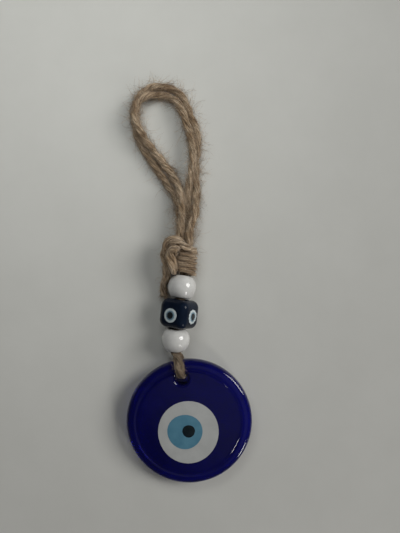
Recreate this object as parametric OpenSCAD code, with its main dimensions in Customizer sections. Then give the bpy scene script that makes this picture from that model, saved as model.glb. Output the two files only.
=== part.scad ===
// Evil eye pendant lying on its back: a glass disc with a fused eye, three beads and a knotted twine loop.
// The floor is z = 0, and +Y runs from the disc to the loop.

/* [Glass disc] */
// Diameter of the disc
disc_d = 40; // [36:1:56]
// Thickness of the glass
disc_t = 4.8; // [4.4:0.1:5.6]
// Distance of the shallow crease inside the edge
rim_w = 3.2; // [2.8:0.1:4]
// Depth of the crease
crease_depth = 0.15; // [0.05:0.05:0.3]

/* [Hanging hole] */
// Diameter of the hole for the twine
hole_d = 4.2; // [4:0.1:4.8]
// Radius of the rounded mouth of the hole
hole_mouth = 0.8; // [0.5:0.1:1]
// Glass left between the hole and the edge
hole_bridge = 3.7; // [3.5:0.1:5]
// Turn of the hole to the left of the top, in degrees
hole_turn = 9.5; // [0:0.5:14]

/* [Eye in the disc] */
// Mean diameter of the white drop
white_d = 19.6; // [17:0.2:21]
// Mean diameter of the light blue drop
iris_d = 11.1; // [9:0.1:12]
// Mean diameter of the black drop
pupil_d = 4; // [3:0.1:5]
// Distance of the drops below the middle of the disc
eye_drop = 3; // [0:0.1:4]
// Depth of each drop in the glass below it
drop_depth = 0.9; // [0.6:0.1:1.1]
// Height of each drop above the glass round it
drop_proud = 0.1; // [0.05:0.05:0.2]

/* [White beads] */
// Diameter of a white bead
bead_d = 9; // [8.6:0.1:10]
// Length of a white bead along the string
bead_l = 7; // [6:0.1:8]
// Diameter of the bore through every bead
bore_d = 4.4; // [4.2:0.1:4.8]

/* [Eye bead] */
// Width of the rounded square bead across the string
eye_bead_w = 9.8; // [9.4:0.1:11]
// Length of the bead along the string
eye_bead_l = 9; // [8.4:0.1:10]
// Radius of its rounded edges
eye_bead_round = 2.4; // [2:0.1:2.6]
// Turn of the bead about the string, in degrees
eye_bead_turn = 30; // [20:1:45]
// Diameter of the white ring of each of its four eyes
bead_eye_d = 4.4; // [3.6:0.1:4.8]

/* [Twine] */
// Diameter of the loose twine
twine_d = 2.6; // [2.4:0.1:2.7]
// Bare twine between the disc and the first bead
drop_l = 2.8; // [2.6:0.1:6]
// Turns of twine round the knot
wrap_turns = 4.33; // [3.33:1:6.33]
// Spacing of the turns
wrap_pitch = 1.72; // [1.7:0.02:2]
// Length of the loop above the knot
loop_l = 50; // [44:1:70]
// Width of the loop
loop_w = 20; // [19:1:26]

/* [Hidden] */
$fn = 64;

// Clearance between pieces that touch on the real pendant
gap = 0.05;
// Overlap of a cut past the surface it opens
cut = 0.5;

// Disc: the rim is a full round, and the returning twine lifts the glass beside the hole
disc_r = disc_d / 2;
rim_r = disc_t / 2;
flat_r = disc_r - rim_r;
hole_r = hole_d / 2;
hole_at = disc_r - hole_bridge - hole_r;
crease_tool_r = 1.2;
under_half = 0.93;
bend_space = 0.14;
disc_tilt = asin((2 * under_half + 2 * bend_space) / (2 * flat_r - hole_mouth));
disc_lift = flat_r * sin(disc_tilt) + rim_r * (1 - cos(disc_tilt));

// Drops, in the plane of the disc: each row is a drop's middle as shares of the white drop's size
// across, along, oval (taller than wide), wave (a three-sided unevenness)
white_form = [-0.015, 0, 0.025, 0.004];
iris_form = [-0.07, 0.008, 0, 0.012];
pupil_form = [-0.01, 0.018, 0, 0.02];
drop_sides = 48;
// Each smaller drop sinks into the one below it by a share of the white drop's depth
iris_sink = 0.6;
pupil_sink = 0.3;

// String of beads, seen from above: each angle leans to the right of +Y
lower_lean = 3;
eye_lean = 7;
upper_lean = 9;
knot_lean = 1;
lower_to_eye = 8.2;
eye_to_upper = 5.9;
// The stiff twine holds the white beads a little off the floor, rising to the tall square bead between them
white_lift = 0.5;
white_rise = 6;
bead_space = 0.35;
knot_space = 0.4;
knot_shift = 0.15;
loop_space = 0.6;
eye_flat = eye_bead_w / 2 - eye_bead_round;
eye_bead_half = eye_flat * (cos(eye_bead_turn) + sin(eye_bead_turn)) + eye_bead_round;

// Twine in the bores: two flattened strands, one above the other, and the reach of their corners
core_margin = 0.55;
core_r = bore_d / 2 - core_margin;
core_reach = 1.1 * core_r;
core_across = 0.83 * core_r;
core_half = 0.485 * core_r;
core_apart = 0.515 * core_r;
over_half = 1.1;
over_across = 1.75;
mouth_across = 1.55;
in_hole_half = 1;
in_hole_across = 0.65 * hole_r;
in_hole_space = 0.16;

// Knot: the turns are tighter than loose twine, and the radius grows from the bead to the loop
wrap_half = 0.8;
wrap_radial = 0.95;
wrap_r_low = core_reach + wrap_radial + 2 * gap;
wrap_spread = 0.35;
wrap_r_high = wrap_r_low + wrap_spread;
wrap_steps = 14;
wrap_end = 60;
// The last part of a turn swells to the width of the side strand, and moves up to make room
wrap_swell_turn = 0.4;
wrap_swell = 0.3;
wrap_l = wrap_turns * wrap_pitch;
knot_l = wrap_l + 2 * wrap_half;
crown_r = 1.35;
crown_start_r = 1.1;
tail_r = 1.2;
tuck_r = 1.25;

// Places from the disc's middle along the string, before the whole is centred
function step_on(p, angle, distance) = p + distance * [sin(angle), cos(angle)];
lower_xy = step_on([0, 0], -hole_turn, disc_r + drop_l + bead_l / 2);
eye_xy = step_on(lower_xy, lower_to_eye, bead_l / 2 + bead_space + eye_bead_l / 2);
upper_xy = step_on(eye_xy, eye_to_upper, eye_bead_l / 2 + bead_space + bead_l / 2);
knot_xy = step_on(upper_xy, upper_lean, bead_l / 2 + knot_space) + [knot_shift, 0];

// The side strand's route in the knot's frame: across, along from the bead, height over the knot's middle, half width
// It leaves the last turn, crosses to the top left, runs down the left side and ends beside the upper bead
crown_route = [
    [0.4, knot_l - 0.3, 4.25, crown_start_r],
    [-1.2, knot_l + 1, 4.6, 1.1 * crown_start_r],
    [-3.1, knot_l + 1.75, 4.3, crown_r],
    [-4.9, knot_l + 1.3, 3.4, crown_r],
    [-5.9, knot_l - 0.3, 2.5, crown_r],
    [-6.05, 0.7 * knot_l, 2.1, crown_r],
    [-5.7, 0.42 * knot_l, 1.9, crown_r],
    [-5.4, 0.15 * knot_l, 1.5, crown_r],
    [-5.8, -0.9, 0.4, tail_r],
    [-6.5, -3.4, -1.1, tail_r],
    [-6.6, -5.4, -2.1, tail_r],
    [-6.6, -6.6, -2.5, tail_r]
];
// The second strand's route, with the same columns: it lies between the side strand and the turns
tuck_route = [
    [-1.9, knot_l - 1.9, 5.2, tuck_r],
    [-3.4, knot_l - 1.3, 4.7, tuck_r],
    [-4.1, knot_l - 2.6, 4.2, tuck_r],
    [-3.9, 0.48 * knot_l, 4.1, tuck_r],
    [-3.5, 0.24 * knot_l, 4, tuck_r],
    [-3.3, 0.06 * knot_l, 4.1, tuck_r]
];

// The loop's route: two strands lie against each other and turn slowly round each other
// across (share of loop_w), along (share of loop_l), lift (twine thicknesses), roll of the outer over the inner
loop_route = [
    [0.07, 0, 0.65, 90],
    [0.08, 0.11, 0.3, 80],
    [0.108, 0.175, 0.08, 50],
    [0.11, 0.25, 0, 18],
    [0.115, 0.32, 0, -10],
    [0.13, 0.395, 0, -40],
    [0.15, 0.48, 0, -66],
    [0.158, 0.56, 0, -74],
    [0.16, 0.64, 0, -55],
    [0.138, 0.72, 0, -40],
    [0.073, 0.795, 0, -40],
    [0, 0.87, 0, -40],
    [-0.075, 0.93, 0, -25],
    [-0.18, 0.972, 0, -5],
    [-0.32, 0.993, 0, -5],
    [-0.464, 0.997, 0, -12],
    [-0.6, 0.98, 0, -34],
    [-0.706, 0.95, 0, -55],
    [-0.775, 0.905, 0, -70],
    [-0.802, 0.84, 0, -82],
    [-0.78, 0.768, 0, -72],
    [-0.706, 0.69, 0, -56],
    [-0.586, 0.61, 0, -40],
    [-0.448, 0.535, 0, -20],
    [-0.308, 0.46, 0, -4],
    [-0.186, 0.385, 0, -24],
    [-0.1, 0.31, 0, -55],
    [-0.07, 0.24, 0, -70],
    [-0.058, 0.168, 0.1, -78],
    [-0.063, 0.1, 0.35, -86],
    [-0.07, 0, 0.65, -90]
];

// Half width between a loop strand's flat sides, and half the distance between the pair's middle lines
twine_half = 0.48 * twine_d;
pair_half = 0.55 * twine_d;

// The knot's top, and the shift that puts the middle of disc and knot over the origin
crown_top = max([for (row = crown_route) row[1]]) + crown_r;
disc_bottom = -flat_r - rim_r * (1 + sin(disc_tilt));
centre_shift = -(knot_xy[1] + crown_top + disc_bottom) / 2;
disc_at = [0, centre_shift, disc_lift];
lower_at = [lower_xy[0], lower_xy[1] + centre_shift, bead_d / 2 + white_lift];
eye_at = [eye_xy[0], eye_xy[1] + centre_shift, eye_bead_half];
upper_at = [upper_xy[0], upper_xy[1] + centre_shift, bead_d / 2 + white_lift];
knot_at = [knot_xy[0], knot_xy[1] + centre_shift, wrap_r_high + wrap_radial + gap];
loop_at = [knot_at[0], knot_at[1] + knot_l + 2 * gap + loop_space];

function unit(v) = v / norm(v);

// A point of the disc's own frame: across, towards the hole, height over the flat back
function disc_point(u, v, w) =
    let (reach = v * cos(disc_tilt) - w * sin(disc_tilt))
    disc_at + [
        u * cos(hole_turn) - reach * sin(hole_turn),
        u * sin(hole_turn) + reach * cos(hole_turn),
        v * sin(disc_tilt) + w * cos(disc_tilt)
    ];

// A point round the rim's section, at a distance from its middle, in the plane through the hole
function rim_point(distance, angle) =
    disc_point(0, flat_r + distance * cos(angle), rim_r + distance * sin(angle));

// A point round the mouth of the hole's side next the edge, front (1) or back (-1)
mouth_v = hole_at + hole_r + hole_mouth;
function mouth_point(distance, angle, side) =
    disc_point(
        0,
        mouth_v + distance * cos(angle),
        rim_r + side * (rim_r - hole_mouth + distance * sin(angle))
    );

// A point in a bead's bore: along the bead's own axis, and up from it
function bead_point(at, lean, rise, along, up) =
    let (reach = along * cos(rise) - up * sin(rise))
    at + [reach * sin(lean), reach * cos(lean), along * sin(rise) + up * cos(rise)];

function knot_point(across, along, up) =
    knot_at + [
        across * cos(knot_lean) + along * sin(knot_lean),
        along * cos(knot_lean) - across * sin(knot_lean),
        up
    ];

// A smooth curve through the rows, with every column treated alike
function blend(a, b, c, d, t) =
    b + 0.5 * t * ((c - a) + t * ((2 * a - 5 * b + 4 * c - d) + t * (3 * (b - c) + d - a)));
function smooth(rows, steps) =
    let (last = len(rows) - 1)
    [
        for (i = [0 : last - 1])
            for (k = [0 : steps - 1])
                blend(
                    rows[max(i - 1, 0)],
                    rows[i],
                    rows[i + 1],
                    rows[min(i + 2, last)],
                    k / steps
                ),
        rows[last]
    ];

// A row of a swept strand: place, the direction its second half width is measured in, and both half widths
function strand_row(p, toward, half_u, half_v) = concat(p, toward, [half_u, half_v]);
function row_place(row) = [row[0], row[1], row[2]];
function row_toward(row) = [row[3], row[4], row[5]];

// One solid swept through the rows, with eight flat sides whose distance is the half width
strand_sides = 8;
module strand(rows) {
    last = len(rows) - 1;
    flat_scale = 1 / cos(180 / strand_sides);
    ring_points = [
        for (i = [0 : last])
            let (
                along = unit(row_place(rows[min(i + 1, last)]) - row_place(rows[max(i - 1, 0)])),
                toward = row_toward(rows[i]),
                v = unit(toward - (toward * along) * along),
                u = cross(v, along)
            )
            for (k = [0 : strand_sides - 1])
                let (angle = (k + 0.5) * 360 / strand_sides)
                row_place(rows[i])
                    + flat_scale * (rows[i][6] * cos(angle) * u + rows[i][7] * sin(angle) * v)
    ];
    side_faces = [
        for (i = [0 : last - 1])
            for (k = [0 : strand_sides - 1])
                let (
                    a = i * strand_sides + k,
                    b = i * strand_sides + (k + 1) % strand_sides
                )
                each [[a, b + strand_sides, b], [a, a + strand_sides, b + strand_sides]]
    ];
    start_face = [for (k = [0 : strand_sides - 1]) k];
    end_face = [for (k = [strand_sides - 1 : -1 : 0]) last * strand_sides + k];
    polyhedron(points = ring_points, faces = concat([start_face], side_faces, [end_face]));
}

// Outline of a drop of glass that has run slightly out of round
module drop_outline(d, form, grow) {
    polygon([
        for (i = [0 : drop_sides - 1])
            let (
                angle = i * 360 / drop_sides,
                r = d / 2 * (1 - form[2] * cos(2 * angle) + form[3] * sin(3 * angle)) + grow
            )
            r * [cos(angle), sin(angle)]
    ]);
}

// A drop in the disc's frame, from a height over the flat back upwards
module drop(d, form, low, high, grow) {
    translate([form[0] * white_d, form[1] * white_d - eye_drop, low])
        linear_extrude(high - low)
            drop_outline(d, form, grow);
}

module on_disc() {
    translate(disc_at)
        rotate([0, 0, hole_turn])
            rotate([disc_tilt, 0, 0])
                rotate([0, 0, -hole_turn])
                    children();
}

// Heights of the drops over the disc's flat back
white_low = disc_t - drop_depth;
white_high = disc_t + drop_proud;
iris_low = white_high - iris_sink * drop_depth;
iris_high = white_high + drop_proud / 2;
pupil_low = iris_high - pupil_sink * drop_depth;
pupil_high = iris_high + drop_proud / 2;

module disc_section() {
    difference() {
        union() {
            square([flat_r, disc_t]);
            translate([flat_r, rim_r])
                circle(rim_r);
        }
        translate([disc_r - rim_w, disc_t + crease_tool_r - crease_depth])
            circle(crease_tool_r);
        translate([-disc_t, -cut])
            square([disc_t, disc_t + 2 * cut]);
    }
}

// The hole with its rounded mouths
module hole_cutter() {
    mouth_r = hole_r + hole_mouth;
    rotate_extrude()
        difference() {
            translate([0, -cut])
                square([mouth_r, disc_t + 2 * cut]);
            translate([mouth_r, hole_mouth])
                circle(hole_mouth);
            translate([mouth_r, disc_t - hole_mouth])
                circle(hole_mouth);
            translate([hole_r, hole_mouth])
                square([mouth_r, disc_t - 2 * hole_mouth]);
        }
}

module glass_disc() {
    color([0.04, 0.04, 0.24])
        on_disc()
            difference() {
                rotate_extrude()
                    disc_section();
                translate([-hole_at * sin(hole_turn), hole_at * cos(hole_turn), 0])
                    hole_cutter();
                drop(white_d, white_form, white_low - gap, disc_t + cut, gap);
            }
}

module eye_white() {
    color([0.86, 0.87, 0.86])
        on_disc()
            difference() {
                drop(white_d, white_form, white_low, white_high, 0);
                drop(iris_d, iris_form, iris_low - gap, white_high + cut, gap);
            }
}

module eye_iris() {
    color([0.4, 0.66, 0.76])
        on_disc()
            difference() {
                drop(iris_d, iris_form, iris_low, iris_high, 0);
                drop(pupil_d, pupil_form, pupil_low - gap, iris_high + cut, gap);
            }
}

module eye_pupil() {
    color([0.05, 0.07, 0.08])
        on_disc()
            drop(pupil_d, pupil_form, pupil_low, pupil_high, 0);
}

// A bead's own axis is turned from +Z to lie along the string, leaning right and rising towards the loop
module on_string(at, lean, rise) {
    translate(at)
        rotate([0, 0, -lean])
            rotate([rise - 90, 0, 0])
                children();
}

// A ball cut flat at both ends and bored through
module white_bead() {
    color([0.9, 0.9, 0.88])
        difference() {
            intersection() {
                sphere(d = bead_d);
                cube([bead_d + cut, bead_d + cut, bead_l], center = true);
            }
            cylinder(h = bead_l + cut, d = bore_d, center = true);
        }
}

module lower_bead() {
    on_string(lower_at, lower_lean, white_rise)
        white_bead();
}

module upper_bead() {
    on_string(upper_at, upper_lean, -white_rise)
        white_bead();
}

// Each eye of the square bead: turn round the string, shift along it towards the disc
bead_eye_places = [[0, -0.5], [90, -0.3], [180, 0.3], [270, 0]];
bead_eye_depth = 0.8;
bead_eye_proud = 0.12;
bead_iris_share = 0.7;
bead_pupil_share = 0.42;

// A round dot in one side of the square bead, between two heights from the bead's axis
module bead_dot(i, d, low, high) {
    place = bead_eye_places[i];
    rotate([0, 0, place[0] - eye_bead_turn])
        translate([0, 0, place[1]])
            rotate([90, 0, 0])
                translate([0, 0, low])
                    cylinder(h = high - low, d = d);
}

bead_white_low = eye_bead_w / 2 - bead_eye_depth;
bead_white_high = eye_bead_w / 2 + bead_eye_proud;
bead_iris_low = bead_white_high - iris_sink * bead_eye_depth;
bead_pupil_low = bead_white_high - pupil_sink * bead_eye_depth;

module eye_bead() {
    end_flat = eye_bead_l / 2 - eye_bead_round;
    color([0.06, 0.09, 0.14])
        on_string(eye_at, eye_lean, 0)
            difference() {
                rotate([0, 0, -eye_bead_turn])
                    hull()
                        for (x = [-1, 1], y = [-1, 1], z = [-1, 1])
                            translate([x * eye_flat, y * eye_flat, z * end_flat])
                                sphere(r = eye_bead_round, $fn = 28);
                cylinder(h = eye_bead_l + cut, d = bore_d, center = true);
                for (i = [0 : 3])
                    bead_dot(i, bead_eye_d + 2 * gap, bead_white_low - gap, eye_bead_w);
            }
}

module bead_eye_white(i) {
    color([0.8, 0.86, 0.88])
        on_string(eye_at, eye_lean, 0)
            difference() {
                bead_dot(i, bead_eye_d, bead_white_low, bead_white_high);
                bead_dot(i, bead_iris_share * bead_eye_d + 2 * gap, bead_iris_low - gap, eye_bead_w);
            }
}

module bead_eye_iris(i) {
    color([0.45, 0.58, 0.66])
        on_string(eye_at, eye_lean, 0)
            difference() {
                bead_dot(i, bead_iris_share * bead_eye_d, bead_iris_low, bead_white_high);
                bead_dot(i, bead_pupil_share * bead_eye_d + 2 * gap, bead_pupil_low - gap, eye_bead_w);
            }
}

module bead_eye_pupil(i) {
    color([0.03, 0.05, 0.06])
        on_string(eye_at, eye_lean, 0)
            bead_dot(i, bead_pupil_share * bead_eye_d, bead_pupil_low, bead_white_high);
}

// One half of the twine inside the beads, above (1) or below (-1) the middle line, from the knot to the disc
function core_rows(side) =
    let (
        up = side * core_apart,
        top = knot_point(0, knot_l + gap, up),
        low = knot_point(0, 0, up),
        places = [
            top,
            low,
            bead_point(upper_at, upper_lean, -white_rise, 0, up),
            (bead_point(upper_at, upper_lean, -white_rise, -bead_l / 2, up)
                + bead_point(eye_at, eye_lean, 0, eye_bead_l / 2, up)) / 2,
            bead_point(eye_at, eye_lean, 0, 0, up),
            (bead_point(eye_at, eye_lean, 0, -eye_bead_l / 2, up)
                + bead_point(lower_at, lower_lean, white_rise, bead_l / 2, up)) / 2,
            bead_point(lower_at, lower_lean, white_rise, 0, up),
            bead_point(lower_at, lower_lean, white_rise, -bead_l / 2, up)
        ]
    )
    [for (p = places) strand_row(p, [1, 0, 0], core_half, core_across)];

// The bend over the rim and down into the hole, then back under the glass
over_reach = rim_r + over_half + bend_space;
under_reach = rim_r + under_half + bend_space + gap;
over_mouth_reach = hole_mouth + over_half + bend_space;
in_hole_reach = hole_mouth + in_hole_half + in_hole_space;
under_mouth_reach = hole_mouth + under_half + bend_space;
function bend_row(p, half, across) = strand_row(p, [1, 0, 0], half, across);
function disc_rows() = [
    for (angle = [42, 64, 86])
        bend_row(rim_point(over_reach, angle), over_half, over_across),
    bend_row(mouth_point(over_mouth_reach, 115, 1), in_hole_half, over_across),
    bend_row(mouth_point(over_mouth_reach, 148, 1), in_hole_half, mouth_across),
    bend_row(mouth_point(in_hole_reach, 180, 1), in_hole_half, in_hole_across),
    bend_row(mouth_point(in_hole_reach, 180, -1), in_hole_half, in_hole_across),
    bend_row(mouth_point(in_hole_reach, 148, -1), under_half, mouth_across),
    bend_row(mouth_point(under_mouth_reach, 115, -1), under_half, over_across),
    for (angle = [-86, -64, -42])
        bend_row(rim_point(under_reach, angle), under_half, over_across)
];

// The twine through the three beads, over the rim, down the hole and back to the knot, in one piece
module bead_twine() {
    back = core_rows(-1);
    color([0.55, 0.45, 0.34])
        strand(smooth(
            concat(core_rows(1), disc_rows(), [for (i = [len(back) - 1 : -1 : 0]) back[i]]),
            4
        ));
}

// A place of the knot whose second half width points away from the knot's middle line
function knot_row(across, along, up, half_u, half_v) =
    strand_row(knot_point(across, along, up), [across, 0, up], half_u, half_v);

// The turns from the bead to the loop, rising to the left across the front
wrap_rows = [
    for (i = [0 : round(wrap_turns * wrap_steps)])
        let (
            share = i / round(wrap_turns * wrap_steps),
            angle = wrap_end - 360 * wrap_turns * (1 - share),
            r = wrap_r_low + wrap_spread * share,
            swell = wrap_swell * max(0, 1 - wrap_turns * (1 - share) / wrap_swell_turn)
        )
        knot_row(
            r * cos(angle),
            wrap_half + wrap_l * share + swell,
            r * sin(angle),
            wrap_half + swell,
            wrap_radial
        )
];

module knot_wraps() {
    side = [for (row = crown_route) knot_row(row[0], row[1], row[2], row[3], row[3])];
    last = len(wrap_rows) - 1;
    joined = smooth(concat([wrap_rows[last - 1], wrap_rows[last]], side), 3);
    color([0.58, 0.47, 0.36])
        strand(concat(
            [for (i = [0 : last - 2]) wrap_rows[i]],
            joined
        ));
}

module knot_tuck() {
    color([0.52, 0.42, 0.32])
        strand(smooth(
            [for (row = tuck_route) knot_row(row[0], row[1], row[2], row[3], row[3])],
            3
        ));
}

// One strand of the loop: the outer (1) or the inner (-1) of the pair
function loop_rows(side) =
    let (
        last = len(loop_route) - 1,
        middle = [
            for (row = loop_route)
                [loop_at[0] + row[0] * loop_w, loop_at[1] + row[1] * loop_l]
        ]
    )
    [
        for (i = [0 : last])
            let (
                along = unit(middle[min(i + 1, last)] - middle[max(i - 1, 0)]),
                outward = [along[1], -along[0]],
                roll = loop_route[i][3],
                shift = side * pair_half * cos(roll) * outward,
                height = twine_half + gap / 2 + loop_route[i][2] * twine_d
                    + pair_half * (abs(sin(roll)) + side * sin(roll))
            )
            strand_row(
                [middle[i][0] + shift[0], middle[i][1] + shift[1], height],
                [0, 0, 1],
                twine_half,
                twine_half
            )
    ];

module loop_twine_outer() {
    color([0.6, 0.49, 0.37])
        strand(loop_rows(1));
}

module loop_twine_inner() {
    color([0.55, 0.45, 0.34])
        strand(loop_rows(-1));
}

glass_disc();
eye_white();
eye_iris();
eye_pupil();
lower_bead();
eye_bead();
upper_bead();
for (i = [1 : 4]) {
    bead_eye_white(i - 1);
    bead_eye_iris(i - 1);
    bead_eye_pupil(i - 1);
}
bead_twine();
knot_wraps();
knot_tuck();
loop_twine_outer();
loop_twine_inner();
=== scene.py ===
"""Looks of an evil eye pendant on a pale table: glass disc, three beads and a knotted loop of twine."""

import math

import bpy
import numpy as np
from mathutils import Matrix, Vector


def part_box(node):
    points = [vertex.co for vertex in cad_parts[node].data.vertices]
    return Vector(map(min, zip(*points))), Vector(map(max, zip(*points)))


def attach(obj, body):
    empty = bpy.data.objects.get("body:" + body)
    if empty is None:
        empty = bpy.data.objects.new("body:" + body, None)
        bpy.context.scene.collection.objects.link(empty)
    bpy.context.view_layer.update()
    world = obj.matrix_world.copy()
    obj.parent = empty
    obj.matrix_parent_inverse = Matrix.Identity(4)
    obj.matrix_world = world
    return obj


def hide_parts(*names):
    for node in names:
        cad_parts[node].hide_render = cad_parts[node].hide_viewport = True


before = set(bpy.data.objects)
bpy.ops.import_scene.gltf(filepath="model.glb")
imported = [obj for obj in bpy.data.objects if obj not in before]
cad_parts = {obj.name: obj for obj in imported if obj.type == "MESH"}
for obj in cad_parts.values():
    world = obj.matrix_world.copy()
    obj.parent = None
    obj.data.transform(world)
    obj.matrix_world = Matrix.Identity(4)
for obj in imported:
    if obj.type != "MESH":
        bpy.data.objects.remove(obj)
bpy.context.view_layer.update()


# Camera: held straight above the table, a little nearer to the loop than to the disc.
# The picture's long side takes in 56 degrees, as a telephone's main lens does.
CAMERA_HEIGHT = 0.163
CAMERA_OVER = (0.00342, 0.02985)
CAMERA_LENS = 33.66
bpy.ops.object.camera_add(location=(*CAMERA_OVER, CAMERA_HEIGHT), rotation=(0, 0, 0))
camera = bpy.context.object
camera.data.lens = CAMERA_LENS
camera.data.clip_start = 0.01
bpy.context.scene.camera = camera
bpy.context.scene.view_settings.view_transform = "Standard"


# Jute twine: three plies of coarse straw-coloured fibre laid up to the left, a little over 2.5 mm thick.
# Each ply is a soft uneven strand, and loose fibres stand out of it all round. The two piece makers here,
# lay_up for the plies and stray_fibres for the fibres, serve the loop, the beads and the knot.
TWINE_D = 0.0026
TWINE_LAY = 0.0145
PLY_OFFSET = 0.45
PLY_REACH = 0.575
PLY_SIDES = 12
RING_SPACING = 0.0003
LUMPS = 0.13
PLY_STRAY = 0.16
FIBRE_RIDGES = 0.09
# Rings over which a ply strays, a lump swells and a ridge comes and goes
STRAY_RINGS, LUMP_RINGS, RIDGE_RINGS = 14, 9, 6
# The fibres' pattern: its run along a ply, and how far it turns with the lay
FIBRE_RUN = 0.012
FIBRE_TURN = 0.45
# Loose fibres: radius and its range, how much thinner they end, pieces along and sides round each
FIBRE_R = 0.00003
FIBRE_THICKNESS = (0.6, 1.7)
FIBRE_TAPER = 0.7
FIBRE_SEGMENTS, FIBRE_SIDES = 7, 3
# Shortest and longest (shares of the usual length), lean away from the twine, swerve to the side, curl
FIBRE_RANGE = (0.15, 2.4)
FIBRE_LEAN, TUFT_LEAN = (0.05, 1), (-0.1, 0.5)
FIBRE_SWERVE, FIBRE_CURL = 0.3, 0.24
# Where they start, as shares of the twine's half width: near its skin, or anywhere on the cut end
FIBRE_ROOT, TUFT_ROOT = 0.84, (0, 0.9)
# How far apart two neighbouring fibres read the pattern, so that each has a tone of its own
FIBRE_TONES = 0.37
CLEARANCE = 0.00005


def rgb(red, green, blue):
    return (red, green, blue, 1)


def new_material(name):
    material = bpy.data.materials.new(name)
    material.use_nodes = True
    tree = material.node_tree
    return material, tree.nodes, tree.links, tree.nodes["Principled BSDF"]


def node_group(name, inputs, outputs):
    """A new shader node group with these sockets, and its nodes, links and two ends."""
    group = bpy.data.node_groups.new(name, "ShaderNodeTree")
    for in_out, sockets in (("INPUT", inputs), ("OUTPUT", outputs)):
        for socket, kind in sockets.items():
            group.interface.new_socket(name=socket, in_out=in_out, socket_type="NodeSocket" + kind)
    given = group.nodes.new("NodeGroupInput").outputs
    result = group.nodes.new("NodeGroupOutput").inputs
    return group, group.nodes, group.links, given, result


def feed(links, value, socket):
    """Links another socket to this one, or sets it to a number or a colour."""
    if isinstance(value, bpy.types.NodeSocket):
        links.new(value, socket)
    else:
        socket.default_value = value


def place_group(nodes, links, group, **values):
    """Puts a node group into a material, with its own value or link for each named input."""
    node = nodes.new("ShaderNodeGroup")
    node.node_tree = group
    for name, value in values.items():
        feed(links, value, node.inputs[name])
    return node.outputs


def noise(nodes, links, vector, scale, detail, label):
    """Soft noise over a vector, as a value."""
    texture = nodes.new("ShaderNodeTexNoise")
    texture.label = label
    texture.inputs["Detail"].default_value = detail
    texture.inputs["Roughness"].default_value = 0.6
    feed(links, scale, texture.inputs["Scale"])
    links.new(vector, texture.inputs["Vector"])
    return texture.outputs["Fac"]


def ramp(nodes, links, factor, stops):
    """Colours along a value: a list of positions with their colours."""
    band = nodes.new("ShaderNodeValToRGB")
    links.new(factor, band.inputs["Fac"])
    band.color_ramp.elements[0].position, band.color_ramp.elements[0].color = stops[0]
    band.color_ramp.elements[1].position, band.color_ramp.elements[1].color = stops[-1]
    for position, colour in stops[1:-1]:
        band.color_ramp.elements.new(position).color = colour
    return band.outputs["Color"]


def mix_colours(nodes, links, factor, first, second, blend="MIX"):
    mix = nodes.new("ShaderNodeMix")
    mix.data_type = "RGBA"
    mix.blend_type = blend
    feed(links, factor, mix.inputs["Factor"])
    feed(links, first, mix.inputs["A"])
    feed(links, second, mix.inputs["B"])
    return mix.outputs["Result"]


def bump(nodes, links, shader, height, distance, strength=1.0):
    relief = nodes.new("ShaderNodeBump")
    relief.inputs["Distance"].default_value = distance
    relief.inputs["Strength"].default_value = strength
    links.new(height, relief.inputs["Height"])
    links.new(relief.outputs["Normal"], shader.inputs["Normal"])


def fibres_group():
    """A mix of pale and brown fibres that run along the ply, with darker stretches as on undyed jute."""
    group, nodes, links, given, result = node_group(
        "jute fibres",
        {"Fibre": "Vector", "Place": "Vector", "Shade": "Float"},
        {"Colour": "Color", "Height": "Float"},
    )
    fibres = noise(nodes, links, given["Fibre"], scale=5, detail=6, label="fibres")
    streaks = ramp(nodes, links, fibres, [
        (0.39, rgb(0.1, 0.06, 0.034)),
        (0.5, rgb(0.43, 0.31, 0.2)),
        (0.63, rgb(0.96, 0.79, 0.59)),
    ])
    patches = noise(nodes, links, given["Place"], scale=190, detail=3, label="brown stretches")
    stretches = ramp(nodes, links, patches, [(0.38, rgb(0.62, 0.55, 0.47)), (0.58, rgb(1, 1, 1))])
    shaded = nodes.new("ShaderNodeVectorMath")
    shaded.operation = "SCALE"
    links.new(mix_colours(nodes, links, 1, streaks, stretches, "MULTIPLY"), shaded.inputs["Vector"])
    links.new(given["Shade"], shaded.inputs["Scale"])
    links.new(shaded.outputs["Vector"], result["Colour"])
    links.new(fibres, result["Height"])
    return group


jute_fibres = fibres_group()


def jute_material(name, shade):
    """Dull fibrous twine whose colour is scaled by shade; a low shade paints shade where it lies deep."""
    material, nodes, links, shader = new_material(name)
    along_ply = nodes.new("ShaderNodeAttribute")
    along_ply.attribute_name = "fibre"
    place = nodes.new("ShaderNodeTexCoord").outputs["Object"]
    fibre = along_ply.outputs["Vector"]
    look = place_group(nodes, links, jute_fibres, Fibre=fibre, Place=place, Shade=shade)
    links.new(look["Colour"], shader.inputs["Base Color"])
    bump(nodes, links, shader, look["Height"], distance=0.0004)
    shader.inputs["Roughness"].default_value = 0.8
    shader.inputs["Specular IOR Level"].default_value = 0.2
    shader.inputs["Sheen Weight"].default_value = 0.2
    shader.inputs["Sheen Roughness"].default_value = 0.5
    return material


jute = jute_material("jute", 0.93)
jute_fibre = jute_material("jute_fibre", 1.0)
# Painted shade: the twine through the beads and over the disc is darkened all along, standing in for the
# shade it lies in.
jute_painted_shade = jute_material("jute_painted_shade", 0.44)


def smooth(rows, spacing):
    """Points a spacing apart on a smooth curve through rows, with every column treated alike."""
    rows = np.array(rows, float)
    last = len(rows) - 1
    points = []
    for i in range(last):
        a, b, c, d = rows[max(i - 1, 0)], rows[i], rows[i + 1], rows[min(i + 2, last)]
        steps = max(1, round(float(np.linalg.norm((c - b)[:3])) / spacing))
        for t in np.arange(steps) / steps:
            bend = (2 * a - 5 * b + 4 * c - d) + t * (3 * (b - c) + d - a)
            points.append(b + 0.5 * t * ((c - a) + t * bend))
    return np.array(points + [rows[last]])


def unit(vectors):
    return vectors / np.linalg.norm(vectors, axis=1, keepdims=True)


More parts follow.
